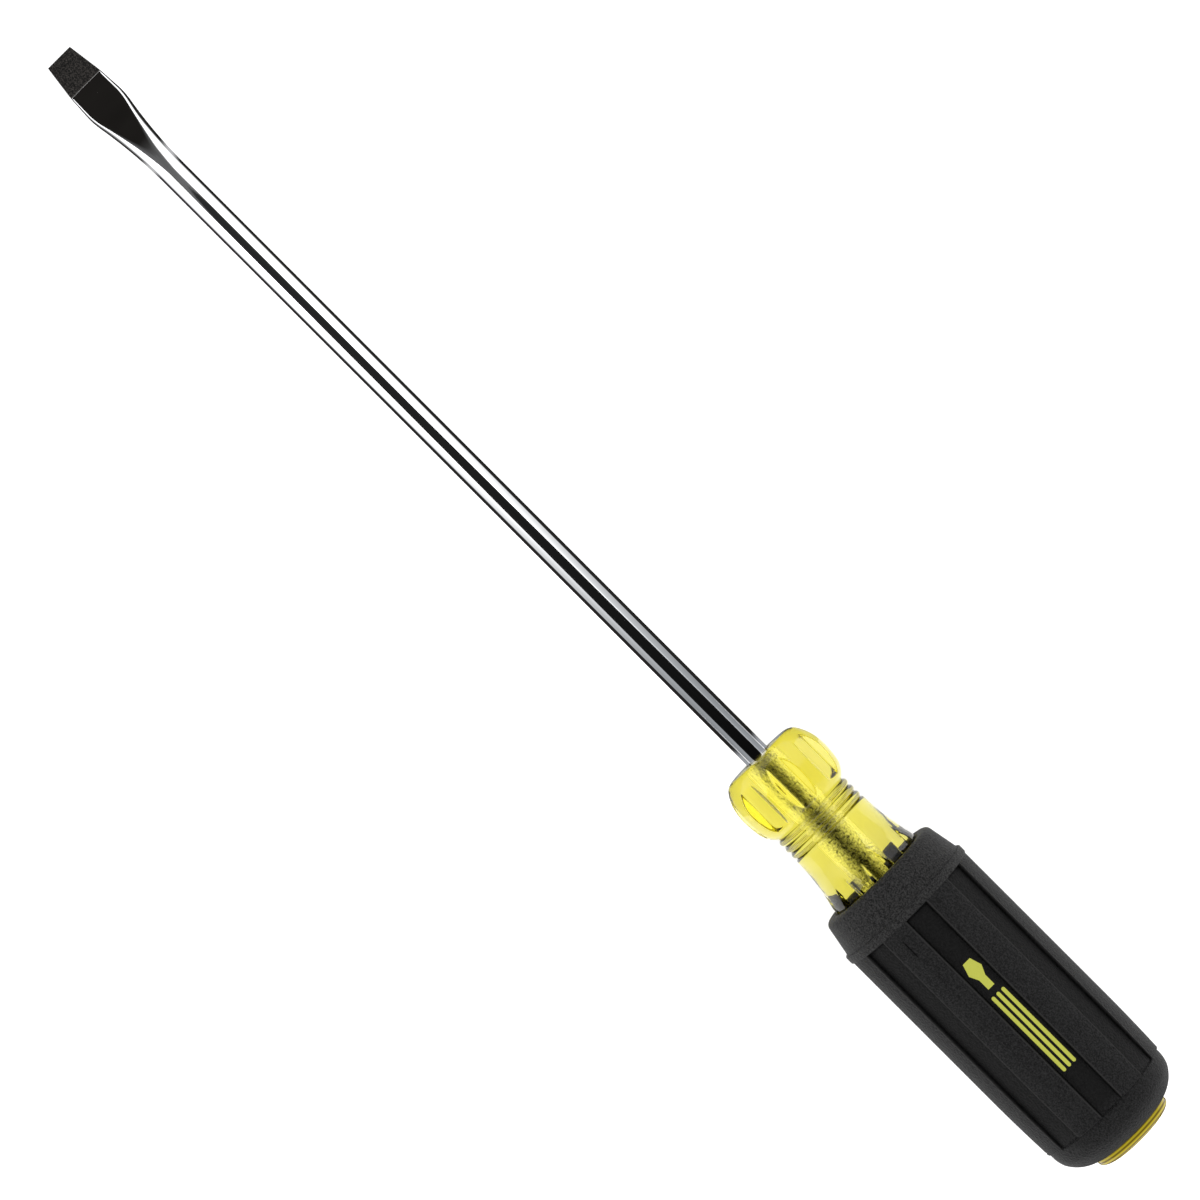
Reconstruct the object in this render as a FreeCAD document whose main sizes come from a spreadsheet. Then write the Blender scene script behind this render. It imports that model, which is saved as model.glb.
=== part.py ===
"""Slotted screwdriver: a 1/4 in keystone blade, 8 in long, in a clear acetate handle with a rubber grip.

The tool lies along X. The origin is the middle of the blade's end face, +X runs from
there to the butt of the handle, and +Z is square to the flats of the tip.
All lengths are in millimetres and all angles are in degrees.
"""

import FreeCAD, Part
import os
import Sketcher

# Driving dimensions: alias, value and what it is.
DIMENSIONS = [
    # the blade
    ("shank_dia", 5.8, "round bar"),
    ("blade_length", 203.2, "from the end face to the handle's nose"),
    ("tang_length", 80.0, "bar inside the handle"),
    ("tang_chamfer", 1.0, "bevel on the bar's inner end"),
    ("tip_width", 6.35, "width of the end face"),
    ("tip_thickness", 1.05, "thickness of the end face"),
    ("ground_length", 7.9, "blackened end of the tip, with straight flats"),
    ("ground_width", 8.5, "width at the end of the ground length"),
    ("ground_thickness", 2.75, "thickness at the end of the ground length"),
    ("flare_at", 14.6, "widest place, before its corner is rounded"),
    ("flare_width", 9.3, "width there, before its corner is rounded"),
    ("flare_round", 2.2, "radius that rounds the widest corner"),
    ("neck_at", 33.4, "where the flare has run out into the bar"),
    ("flat_runout", 38.7, "where the flats have run out into the bar"),
    ("wing_from_end", 11.0, "from the bar's inner end to the wings"),
    ("wing_length", 9.0, "pressed wings that stop the bar turning"),
    ("wing_width", 8.6, "across both wings"),
    ("wing_thickness", 1.8, "thickness of the wings"),
    # the handle
    ("handle_length", 110.85, "from the nose to the crown of the butt"),
    ("nose_dia", 14.6, "flat end of the nose"),
    ("shoulder_at", 1.0, "where the nose's corner meets the ball"),
    ("shoulder_dia", 19.1, "diameter there"),
    ("mouth_dia", 7.0, "countersink round the blade"),
    ("mouth_depth", 0.5, "depth of the countersink"),
    ("ball_at", 7.6, "widest place of the ball"),
    ("ball_dia", 23.55, "diameter of the ball"),
    ("brow_at", 11.9, "where the ball turns down towards the neck"),
    ("brow_dia", 22.65, "diameter there"),
    ("brow_round", 6.5, "radius of that turn"),
    ("neck_dia", 17.75, "bottom of the grooves between the rings"),
    ("ring_at", 15.35, "front of the first ring"),
    ("ring_pitch", 1.745, "length of each ring"),
    ("ring_round", 0.885, "radius of each ring's back"),
    ("waist_dia", 19.35, "start of the waist"),
    ("waist_lip", 0.72, "rounded step from the last groove to the waist"),
    ("core_at", 33.3, "where the waist has flared out to the core"),
    ("core_dia", 22.8, "core inside the grip"),
    ("core_length", 66.5, "length of the core"),
    ("boss_dia", 19.1, "end of the handle, out of the grip's back"),
    ("boss_cone", 2.2, "length of the cone from core to boss"),
    ("boss_corner_at", 109.15, "where the boss turns in, before its corner is rounded"),
    ("boss_corner_round", 1.0, "radius that rounds that corner"),
    ("crown_at", 110.1, "edge of the crown"),
    ("crown_dia", 15.6, "diameter of the crown"),
    ("corner_round", 3.0, "radius from the boss to the crown"),
    # the flutes of the nose and of the core
    ("flute_count", 8, "flutes and channels round the handle"),
    ("flute_floor", 10.4, "height of a flute's flat floor over the axis"),
    ("flute_floor_width", 3.4, "width of the floor"),
    ("flute_slope", 36.0, "angle of the flute's walls"),
    ("flute_turn", 6.0, "turn of the first flute away from the top"),
    ("flute_end", 6.0, "plain length of the core behind the flutes"),
    # the grip
    ("grip_at", 34.4, "front of the grip, from the nose"),
    ("grip_length", 73.5, "length of the grip"),
    ("rim_dia", 26.6, "outer edge of the front face"),
    ("rim_mouth_dia", 24.0, "inner edge of the front face"),
    ("rim_mouth_depth", 0.8, "depth of the rounded mouth"),
    ("collar_at", 1.1, "start of the collar's taper"),
    ("collar_dia", 29.3, "diameter there"),
    ("lip_at", 7.6, "front of the raised lip"),
    ("collar_end_dia", 31.75, "collar at the lip"),
    ("lip_dia", 32.9, "raised lip"),
    ("lip_length", 1.88, "length of the lip"),
    ("lip_round", 0.35, "rounding of the lip"),
    ("land_dia", 32.65, "over the lands"),
    ("land_bow_at", 50.4, "where the lands start to bow in"),
    ("land_end_dia", 32.0, "over the ends of the lands"),
    ("channel_dia", 30.9, "over the channel floors"),
    ("channel_angle", 20.5, "angle of each channel"),
    ("channel_turn", 1.8, "turn of the first channel away from the top"),
    ("land_end", 65.6, "end of the lands"),
    ("tail_at", 66.85, "where the back starts to turn in"),
    ("back_at", 69.5, "where it turns in faster"),
    ("back_front_dia", 29.85, "diameter there"),
    ("back_dia", 19.7, "edge of the back, round the boss"),
    ("back_round", 8.0, "radius of the back from there to its edge"),
    ("grip_bore", 16.0, "hole in the grip before the handle shapes it"),
    # the printed mark
    ("ink_height", 0.06, "thickness of the ink"),
    ("mark_at", 261.5, "start of the mark, from the blade's end"),
    ("icon_length", 7.2, "length of the small blade outline"),
    ("icon_tip_width", 2.0, "its end"),
    ("icon_flare_at", 2.6, "its widest place"),
    ("icon_flare_width", 3.6, "its widest width"),
    ("icon_stem_at", 4.6, "start of its stem"),
    ("icon_stem_width", 1.7, "width of its stem"),
    ("bar_gap", 1.6, "between the icon and the bars"),
    ("bar_length", 21.0, "length of the bars"),
    ("bar_width", 0.8, "width of a bar"),
    ("bar_pitch", 1.4, "from bar to bar"),
    ("bar_count", 3, "number of bars"),
]

START, END = 1, 2  # the two ends of a sketch's line or arc
ORIGIN = (-1, 1)  # a sketch's own origin
RING_COUNT = 3  # rings in the neck
MARGIN = "4"  # how far a cutting outline reaches past the solid, in mm

doc = FreeCAD.newDocument("screwdriver")
dim = doc.addObject("Spreadsheet::Sheet", "dim")
for row, (alias, value, meaning) in enumerate(DIMENSIONS, start=1):
    dim.set(f"A{row}", meaning)
    dim.set(f"B{row}", str(value))
    dim.setAlias(f"B{row}", alias)
doc.recompute()


def size(expression):
    """The number that an expression comes to."""
    return float(dim.evalExpression(expression))


# Helpers for bodies, sketches and features.


def new_body(name, place="0", turn="0"):
    """An empty body at a place along X, turned round the axis from the top towards +Y."""
    body = doc.addObject("PartDesign::Body", name)
    away_from_top = FreeCAD.Vector(-1, 0, 0)
    body.Placement = FreeCAD.Placement(FreeCAD.Vector(), FreeCAD.Rotation(away_from_top, 1))
    body.setExpression(".Placement.Base.x", place)
    body.setExpression(".Placement.Rotation.Angle", turn)
    return body


def new_sketch(body, name, plane, lift=None):
    """A sketch on one of the body's own origin planes, raised off it by an expression."""
    sketch = body.newObject("Sketcher::SketchObject", name)
    support = [part for part in body.Origin.OriginFeatures if part.Role == plane]
    sketch.AttachmentSupport = (support[0], "")
    sketch.MapMode = "FlatFace"
    if lift:
        sketch.setExpression(".AttachmentOffset.Base.z", lift)
        doc.recompute()
    return sketch


def arc_middle(start, end, radius):
    """The middle of an arc that bulges to the left of its way, or to the right if radius is negative."""
    chord = end - start
    half = chord.Length / 2
    rise = abs(radius) - (radius**2 - half**2) ** 0.5
    left = FreeCAD.Vector(-chord.y, chord.x, 0).normalize()
    return (start + end) / 2 + left * (rise if radius > 0 else -rise)


def tangent_round(run, rise):
    """Radius, as an expression, of an arc that leaves along the run and ends aside of it by the rise."""
    return f"(({run}) ^ 2 + ({rise}) ^ 2) / (2 * ({rise}))"


def pin_point(sketch, edge, end, place):
    """Hold one end of an edge at a place that two expressions give."""
    for kind, expression in zip(("DistanceX", "DistanceY"), place):
        constraint = sketch.addConstraint(
            Sketcher.Constraint(kind, *ORIGIN, edge, end, size(expression))
        )
        sketch.setExpression(f"Constraints[{constraint}]", expression)


def draw_loop(sketch, corners):
    """A closed outline. Each corner is (x, y) or (x, y, radius of the arc to the next corner).

    Arcs run anticlockwise in a sketch, so one that bulges to the left is drawn from its far end.
    """
    first = sketch.GeometryCount
    points = [FreeCAD.Vector(size(corner[0]), size(corner[1]), 0) for corner in corners]
    count = len(corners)
    ends = []
    for index, corner in enumerate(corners):
        start, end = points[index], points[(index + 1) % count]
        radius = size(corner[2]) if len(corner) == 3 else 0
        ends.append((END, START) if radius > 0 else (START, END))
        if radius > 0:
            sketch.addGeometry(Part.Arc(end, arc_middle(start, end, radius), start))
        elif radius < 0:
            sketch.addGeometry(Part.Arc(start, arc_middle(start, end, radius), end))
        else:
            sketch.addGeometry(Part.LineSegment(start, end))
    for index, corner in enumerate(corners):
        edge = first + index
        after = (index + 1) % count
        sketch.addConstraint(
            Sketcher.Constraint("Coincident", edge, ends[index][1], first + after, ends[after][0])
        )
        pin_point(sketch, edge, ends[index][0], corner[:2])
        if len(corner) == 3:
            radius = f"abs({corner[2]})"
            constraint = sketch.addConstraint(Sketcher.Constraint("Radius", edge, size(radius)))
            sketch.setExpression(f"Constraints[{constraint}]", radius)


def revolve(body, name, sketch):
    """A full turn of the sketch's outline round the X axis."""
    feature = body.newObject("PartDesign::Revolution", name)
    feature.Profile = sketch
    feature.ReferenceAxis = (sketch, ["H_Axis"])
    feature.Angle = 360
    doc.recompute()
    return feature


def pad(body, name, sketch, length, midplane=False):
    """Material from the sketch's outline, as long as the expression says."""
    feature = body.newObject("PartDesign::Pad", name)
    feature.Profile = sketch
    feature.Midplane = midplane
    feature.setExpression("Length", length)
    doc.recompute()
    return feature


def pocket(body, name, sketch, length, midplane=False, reverse=False):
    """A cut of the sketch's outline, which has to take material away."""
    before = body.Shape.Volume
    feature = body.newObject("PartDesign::Pocket", name)
    feature.Profile = sketch
    feature.Midplane = midplane
    feature.Reversed = reverse
    feature.setExpression("Length", length)
    doc.recompute()
    if body.Shape.Volume > before - 0.01:
        raise RuntimeError(f"{name} cuts nothing")
    return feature


def repeat_round(body, name, feature, count):
    """Repeat a feature evenly round the X axis."""
    pattern = body.newObject("PartDesign::PolarPattern", name)
    pattern.Originals = [feature]
    pattern.Axis = (axis_of(body, "X_Axis"), [""])
    pattern.Angle = 360
    pattern.setExpression("Occurrences", count)
    body.Tip = pattern
    doc.recompute()
    return pattern


def axis_of(body, role):
    """One of the body's own origin axes."""
    return [part for part in body.Origin.OriginFeatures if part.Role == role][0]


def ring_edges(shape, place, diameter):
    """Names of the round edges about the X axis at a place and of a diameter."""
    names = []
    for number, edge in enumerate(shape.Edges, start=1):
        if edge.Degenerated or not isinstance(edge.Curve, Part.Circle):
            continue
        curve = edge.Curve
        if abs(curve.Center.x - place) < 1e-4 and abs(curve.Radius - diameter / 2) < 1e-4:
            names.append(f"Edge{number}")
    return names


def round_ring(body, name, feature, place, diameter, radius):
    """Round the circular edge at a place along X and of a diameter."""
    edges = ring_edges(feature.Shape, size(place), size(diameter))
    if len(edges) != 1:
        raise RuntimeError(f"{name} found {len(edges)} edges")
    fillet = body.newObject("PartDesign::Fillet", name)
    fillet.Base = (feature, edges)
    fillet.setExpression("Radius", radius)
    doc.recompute()
    return fillet


def boolean(kind, name, first, second):
    """A Part::Cut, where first loses second, or a Part::Common, where they share."""
    result = doc.addObject(kind, name)
    names = ("Base", "Tool")
    for slot, piece in zip(names, (first, second)):
        setattr(result, slot, piece)
    doc.recompute()
    return result


# The sub-parts.


def make_blade():
    """Round bar, forged out to a keystone tip, ground to two flats, with wings near its inner end."""
    body = new_body("blade")
    neck_round = tangent_round(
        "dim.neck_at - dim.flare_at", "(dim.flare_width - dim.shank_dia) / 2"
    )
    bar_end = "dim.blade_length + dim.tang_length"
    outline = new_sketch(body, "bar_outline", "XZ_Plane")
    draw_loop(outline, [
        ("0", "0"),
        ("0", "dim.tip_width / 2"),
        ("dim.ground_length", "dim.ground_width / 2"),
        ("dim.flare_at", "dim.flare_width / 2", f"-({neck_round})"),
        ("dim.neck_at", "dim.shank_dia / 2"),
        (f"{bar_end} - dim.tang_chamfer", "dim.shank_dia / 2"),
        (bar_end, "dim.shank_dia / 2 - dim.tang_chamfer"),
        (bar_end, "0"),
    ])
    bar = revolve(body, "bar", outline)
    round_ring(body, "flare_rounding", bar, "dim.flare_at", "dim.flare_width", "dim.flare_round")

    flat_round = tangent_round(
        "dim.flat_runout - dim.ground_length", "(dim.shank_dia - dim.ground_thickness) / 2"
    )
    above = f"dim.flare_width / 2 + {MARGIN}"
    flat = new_sketch(body, "flat_outline", "XZ_Plane")
    draw_loop(flat, [
        (f"-{MARGIN}", above),
        (f"-{MARGIN}", "dim.tip_thickness / 2"),
        ("0", "dim.tip_thickness / 2"),
        ("dim.ground_length", "dim.ground_thickness / 2", flat_round),
        ("dim.flat_runout", "dim.shank_dia / 2"),
        ("dim.flat_runout", above),
    ])
    upper = pocket(body, "upper_flat", flat, "dim.flare_width * 2", midplane=True)
    both = body.newObject("PartDesign::Mirrored", "both_flats")
    both.Originals = [upper]
    both.MirrorPlane = (axis_of(body, "XY_Plane"), [""])
    body.Tip = both
    doc.recompute()

    wing_end = f"{bar_end} - dim.wing_from_end"
    wings = new_sketch(body, "wing_outline", "XY_Plane")
    draw_loop(wings, [
        (f"{wing_end} - dim.wing_length", "-dim.wing_width / 2"),
        (wing_end, "-dim.wing_width / 2"),
        (wing_end, "dim.wing_width / 2"),
        (f"{wing_end} - dim.wing_length", "dim.wing_width / 2"),
    ])
    pad(body, "wings", wings, "dim.wing_thickness", midplane=True)
    return body


def ring_corners():
    """The rounded rings in the neck, each an arc from groove to groove."""
    return [
        (f"dim.ring_at + {number} * dim.ring_pitch", "dim.neck_dia / 2", "dim.ring_round")
        for number in range(RING_COUNT)
    ]


def make_handle_blank():
    """The handle with no hole in it: ball, ringed neck, flared waist, fluted core and boss."""
    body = new_body("handle_blank", "dim.blade_length", "dim.flute_turn")
    last_groove = f"dim.ring_at + {RING_COUNT} * dim.ring_pitch"
    waist_at = f"{last_groove} + dim.waist_lip"
    core_end = "dim.core_at + dim.core_length"
    shoulder_round = tangent_round("(dim.shoulder_dia - dim.nose_dia) / 2", "dim.shoulder_at")
    ball_front = tangent_round("dim.ball_at - dim.shoulder_at", "(dim.ball_dia - dim.shoulder_dia) / 2")
    ball_back = tangent_round("dim.brow_at - dim.ball_at", "(dim.ball_dia - dim.brow_dia) / 2")
    lip_round = tangent_round("dim.waist_lip", "(dim.waist_dia - dim.neck_dia) / 2")
    waist_round = tangent_round(f"dim.core_at - ({waist_at})", "(dim.core_dia - dim.waist_dia) / 2")
    crown_round = tangent_round("dim.crown_dia / 2", "dim.handle_length - dim.crown_at")
    outline = new_sketch(body, "handle_outline", "XZ_Plane")
    draw_loop(outline, [
        ("dim.mouth_depth", "0"),
        ("dim.mouth_depth", "dim.shank_dia / 2"),
        ("0", "dim.mouth_dia / 2"),
        ("0", "dim.nose_dia / 2", shoulder_round),
        ("dim.shoulder_at", "dim.shoulder_dia / 2", ball_front),
        ("dim.ball_at", "dim.ball_dia / 2", ball_back),
        ("dim.brow_at", "dim.brow_dia / 2", "dim.brow_round"),
        *ring_corners(),
        (last_groove, "dim.neck_dia / 2", lip_round),
        (waist_at, "dim.waist_dia / 2", f"-({waist_round})"),
        ("dim.core_at", "dim.core_dia / 2"),
        (core_end, "dim.core_dia / 2"),
        (f"{core_end} + dim.boss_cone", "dim.boss_dia / 2"),
        ("dim.boss_corner_at", "dim.boss_dia / 2", "dim.corner_round"),
        ("dim.crown_at", "dim.crown_dia / 2", crown_round),
        ("dim.handle_length", "0"),
    ])
    turned = revolve(body, "turned_handle", outline)
    round_ring(body, "boss_corner", turned, "dim.boss_corner_at", "dim.boss_dia", "dim.boss_corner_round")

    wall_height = f"(dim.core_dia / 2 + {MARGIN} - dim.flute_floor)"
    wall_spread = f"{wall_height} / tan(dim.flute_slope * 1deg)"
    flute = new_sketch(body, "flute_outline", "YZ_Plane")
    draw_loop(flute, [
        ("-dim.flute_floor_width / 2", "dim.flute_floor"),
        ("dim.flute_floor_width / 2", "dim.flute_floor"),
        (f"dim.flute_floor_width / 2 + {wall_spread}", f"dim.flute_floor + {wall_height}"),
        (f"-dim.flute_floor_width / 2 - {wall_spread}", f"dim.flute_floor + {wall_height}"),
    ])
    cut = pocket(body, "flute", flute, f"{core_end} - dim.flute_end", reverse=True)
    repeat_round(body, "flutes", cut, "dim.flute_count")
    return body


def make_grip_blank():
    """The grip before the handle shapes its inside: rim, collar, lip, lands and rounded back."""
    body = new_body("grip_blank", "dim.blade_length + dim.grip_at", "dim.channel_turn")
    lip_end = "dim.lip_at + dim.lip_length"
    mouth_round = tangent_round("dim.rim_mouth_depth", "(dim.rim_mouth_dia - dim.core_dia) / 2")
    rim_round = tangent_round("(dim.collar_dia - dim.rim_dia) / 2", "dim.collar_at")
    lip_back_round = tangent_round("dim.lip_round", "(dim.lip_dia - dim.land_dia) / 2")
    land_bow = tangent_round("dim.land_end - dim.land_bow_at", "(dim.land_dia - dim.land_end_dia) / 2")
    tail_round = tangent_round("dim.back_at - dim.tail_at", "(dim.channel_dia - dim.back_front_dia) / 2")
    outline = new_sketch(body, "grip_outline", "XZ_Plane")
    draw_loop(outline, [
        ("dim.rim_mouth_depth", "dim.grip_bore / 2"),
        ("dim.rim_mouth_depth", "dim.core_dia / 2", mouth_round),
        ("0", "dim.rim_mouth_dia / 2"),
        ("0", "dim.rim_dia / 2", rim_round),
        ("dim.collar_at", "dim.collar_dia / 2"),
        ("dim.lip_at", "dim.collar_end_dia / 2"),
        ("dim.lip_at", "dim.lip_dia / 2 - dim.lip_round", "dim.lip_round"),
        ("dim.lip_at + dim.lip_round", "dim.lip_dia / 2"),
        (f"{lip_end} - dim.lip_round", "dim.lip_dia / 2", lip_back_round),
        (lip_end, "dim.land_dia / 2"),
        ("dim.land_bow_at", "dim.land_dia / 2", land_bow),
        ("dim.land_end", "dim.land_end_dia / 2"),
        ("dim.land_end", "dim.channel_dia / 2"),
        ("dim.tail_at", "dim.channel_dia / 2", tail_round),
        ("dim.back_at", "dim.back_front_dia / 2", "dim.back_round"),
        ("dim.grip_length", "dim.back_dia / 2"),
        ("dim.grip_length", "dim.grip_bore / 2"),
    ])
    revolve(body, "turned_grip", outline)

    half_turn = "(dim.channel_angle * 1deg / 2)"
    outside = f"(dim.lip_dia / 2 + {MARGIN})"
    channel = new_sketch(body, "channel_outline", "YZ_Plane", lift=lip_end)
    draw_loop(channel, [
        (f"-dim.channel_dia / 2 * sin{half_turn}", f"dim.channel_dia / 2 * cos{half_turn}",
         "dim.channel_dia / 2"),
        (f"dim.channel_dia / 2 * sin{half_turn}", f"dim.channel_dia / 2 * cos{half_turn}"),
        (f"{outside} * sin{half_turn}", f"{outside} * cos{half_turn}"),
        (f"-{outside} * sin{half_turn}", f"{outside} * cos{half_turn}"),
    ])
    cut = pocket(body, "channel", channel, f"dim.land_end - ({lip_end})", reverse=True)
    repeat_round(body, "channels", cut, "dim.flute_count")
    return body


def make_mark_blank():
    """The printed mark's outlines, upright through the channel: a blade outline and plain bars."""
    body = new_body("mark_blank", "dim.mark_at", "dim.channel_turn")
    icon = new_sketch(body, "icon_outline", "XY_Plane")
    draw_loop(icon, [
        ("0", "-dim.icon_tip_width / 2"),
        ("dim.icon_flare_at", "-dim.icon_flare_width / 2"),
        ("dim.icon_stem_at", "-dim.icon_stem_width / 2"),
        ("dim.icon_length", "-dim.icon_stem_width / 2"),
        ("dim.icon_length", "dim.icon_stem_width / 2"),
        ("dim.icon_stem_at", "dim.icon_stem_width / 2"),
        ("dim.icon_flare_at", "dim.icon_flare_width / 2"),
        ("0", "dim.icon_tip_width / 2"),
    ])
    bar_start = "dim.icon_length + dim.bar_gap"
    for number in range(int(size("dim.bar_count"))):
        low = f"({number} - (dim.bar_count - 1) / 2) * dim.bar_pitch - dim.bar_width / 2"
        draw_loop(icon, [
            (bar_start, low),
            (f"{bar_start} + dim.bar_length", low),
            (f"{bar_start} + dim.bar_length", f"{low} + dim.bar_width"),
            (bar_start, f"{low} + dim.bar_width"),
        ])
    pad(body, "outlines", icon, "dim.lip_dia")
    return body


def ink_cylinder(name, radius):
    """A long cylinder on the X axis that bounds the layer of ink."""
    cylinder = doc.addObject("Part::Cylinder", name)
    cylinder.Placement = FreeCAD.Placement(
        FreeCAD.Vector(), FreeCAD.Rotation(FreeCAD.Vector(0, 1, 0), 90)
    )
    cylinder.setExpression("Radius", radius)
    cylinder.setExpression("Height", "dim.blade_length + dim.handle_length")
    return cylinder


def make_printed_mark(mark_blank):
    """A thin layer of ink that follows the round floor of the top channel."""
    outside = ink_cylinder("ink_outside", "dim.channel_dia / 2 + dim.ink_height")
    inside = ink_cylinder("ink_inside", "dim.channel_dia / 2")
    layer = boolean("Part::Cut", "ink_layer", outside, inside)
    return boolean("Part::Common", "printed_mark", mark_blank, layer)


def make_subparts():
    """Every sub-part. Each piece is shaped by the one it is pressed or moulded onto."""
    blade = make_blade()
    handle_blank = make_handle_blank()
    handle = boolean("Part::Cut", "handle", handle_blank, blade)
    grip = boolean("Part::Cut", "grip", make_grip_blank(), handle_blank)
    printed_mark = make_printed_mark(make_mark_blank())
    return [blade, handle, grip, printed_mark]


def check(subparts):
    """Stop if anything in the document failed, or if a sub-part has no sound shape."""
    doc.recompute()
    for item in doc.Objects:
        if "Invalid" in item.State or "Error" in item.State:
            raise RuntimeError(f"{item.Label} failed: {item.State}")
    for subpart in subparts:
        if subpart.Shape.isNull() or not subpart.Shape.isValid():
            raise RuntimeError(f"{subpart.Label} has no valid shape")


def write(subparts):
    """One STEP file for each sub-part, named by its label."""
    os.makedirs("parts", exist_ok=True)
    for subpart in subparts:
        subpart.Shape.exportStep(f"parts/{subpart.Label}.step")
        box = subpart.Shape.BoundBox
        print(
            f"{subpart.Label}: {len(subpart.Shape.Solids)} solid, {subpart.Shape.Volume:.1f} mm3,"
            f" X {box.XMin:.2f} to {box.XMax:.2f}, Y {box.YMin:.2f} to {box.YMax:.2f},"
            f" Z {box.ZMin:.2f} to {box.ZMax:.2f}"
        )


pieces = make_subparts()
check(pieces)
write(pieces)
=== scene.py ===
"""Looks of the slotted screwdriver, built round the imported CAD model.

The tool lies along X, from the tip at X = 0 to the butt, with the flats of the tip square to Z.
Outlines are given in millimetres and turned into metres where a mesh is made.
"""

import math

import bpy
from mathutils import Matrix, Vector


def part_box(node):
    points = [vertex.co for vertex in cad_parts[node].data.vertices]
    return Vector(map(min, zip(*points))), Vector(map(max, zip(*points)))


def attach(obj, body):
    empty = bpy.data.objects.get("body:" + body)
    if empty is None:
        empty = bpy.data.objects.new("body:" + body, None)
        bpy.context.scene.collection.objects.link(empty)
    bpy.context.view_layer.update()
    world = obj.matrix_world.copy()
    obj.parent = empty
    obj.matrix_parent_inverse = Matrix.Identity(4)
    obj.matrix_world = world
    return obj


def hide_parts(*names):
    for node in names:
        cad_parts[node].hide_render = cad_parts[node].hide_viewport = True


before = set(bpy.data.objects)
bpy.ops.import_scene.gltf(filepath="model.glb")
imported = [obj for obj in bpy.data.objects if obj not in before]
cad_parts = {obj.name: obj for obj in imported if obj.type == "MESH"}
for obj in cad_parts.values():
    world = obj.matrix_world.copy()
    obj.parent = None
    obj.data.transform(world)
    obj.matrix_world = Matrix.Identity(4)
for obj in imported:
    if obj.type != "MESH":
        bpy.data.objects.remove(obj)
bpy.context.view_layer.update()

MM = 0.001

# Where the pieces start and end along X, in mm.
BLADE_START, BLADE_END = (corner.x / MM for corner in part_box("blade"))
NOSE, BUTT = (corner.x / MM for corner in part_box("handle"))
GRIP_START, GRIP_END = (corner.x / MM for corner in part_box("grip"))
MARK_START, MARK_END = (corner.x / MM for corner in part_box("printed_mark"))

# Blade, in mm.
BAR = 2.9  # radius of the round bar
TIP_HALF_WIDTH = 3.175
TIP_HALF_THICKNESS = 0.525
GROUND = 7.9  # length of the blackened end
GROUND_HALF_WIDTH = 4.25
GROUND_HALF_THICKNESS = 1.375
FLARE = 14.6  # widest place, before rounding
FLARE_HALF_WIDTH = 4.65
FLARE_ROUND = 1.6  # half the length that the rounding takes
NECK = 33.4  # end of the flare
RUNOUT = 38.7  # end of the flats
WING_HALF_WIDTH = 4.3
WING_HALF_THICKNESS = 0.9
WING_START, WING_END = BLADE_END - 20.0, BLADE_END - 11.0
EDGE = 0.12  # how far the blade's edges are eased
FORGED_EDGE = 0.6  # and how far they are along the flare

# Handle, in mm; places are counted from the nose.
BORE_GAP = 0.03  # air round the bar in the handle
FLUTES = 8
FLUTE_FLOOR = 10.4
FLUTE_HALF_FLOOR = 1.7
FLUTE_SLOPE = math.radians(36)
FLUTE_TURN = math.radians(6)
FLUTE_END = 93.8
MOUTH_RADIUS, MOUTH_DEPTH = 3.5, 0.5  # countersink round the bar
FACE_RADIUS = 7.3  # flat end of the nose
SHOULDER, SHOULDER_RADIUS = 1.0, 9.55  # where the nose's rounded corner meets the ball
BALL, BALL_RADIUS = 7.6, 11.775  # widest place
BROW, BROW_RADIUS, BROW_ROUND = 11.9, 11.325, 6.5  # where the ball turns down to the neck
RINGS = 3
RING, RING_PITCH, RING_ROUND = 15.35, 1.745, 0.885
GROOVE_RADIUS = 8.875
WAIST_LIP, WAIST_RADIUS = 0.72, 9.675
CORE = 11.4
CORE_START, CORE_END = 33.3, 99.8
BOSS_CONE, BOSS_RADIUS = 2.2, 9.55
BOSS_CORNER = 109.15
BOSS_EASE = 1.0  # radius that rounds the boss's corner
CROWN, CROWN_RADIUS = 110.1, 7.8
CROWN_CORNER = 3.0  # radius from the boss to the crown

# Grip, in mm; places are counted from its front.
GRIP_GAP = 0.04  # air between the core and the grip
MOUTH_EDGE, MOUTH_INSIDE = 12.0, 0.8  # radius and depth of the rounded mouth
RIM_RADIUS = 13.3
COLLAR, COLLAR_RADIUS, COLLAR_END_RADIUS = 1.1, 14.65, 15.875
LIP, LIP_LENGTH = 7.6, 1.88
LIP_RADIUS, LIP_ROUND = 16.445, 0.35
LAND_RADIUS = 16.325
LAND_BOW = 50.4  # where the lands start to bow in
LAND_END, LAND_END_RADIUS, LAND_CORNER = 65.6, 16.0, 0.2
CHANNEL_RADIUS = 15.45
TAIL = 66.85  # where the back starts to turn in
BACK, BACK_RADIUS, BACK_ROUND = 69.5, 14.925, 8.0
BACK_EDGE = 9.85
CHANNEL_HALF_ANGLE = math.radians(10.25)
CHANNEL_TURN = math.radians(1.8)
WALL_HALF_ANGLE = math.radians(0.32)
WALL_LENGTH = 0.22  # along X, at a channel's front
SEAM_ANGLE = math.radians(-20.7)
SEAM_HEIGHT = 0.05
SEAM_WIDTH = 0.14
SEAM_RISE = (0.5, 2.5)  # where the seam starts and is whole
SEAM_FALL = (72, 74)  # where it starts to fade and is gone
SEAM_OFF_LIP = 1.05  # the lip's middle has no seam this far to each side
NICK, NICK_LENGTH, NICK_DEPTH = 14.2, 4.2, 0.22  # a gap in the seam

# How fine the meshes are.
SIDE_COLUMNS = 36
FLAT_COLUMNS = 40
HANDLE_COLUMNS = 480
FLUTE_EASE = 0.25
TINY = 1e-6  # keeps divisions away from zero

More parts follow.
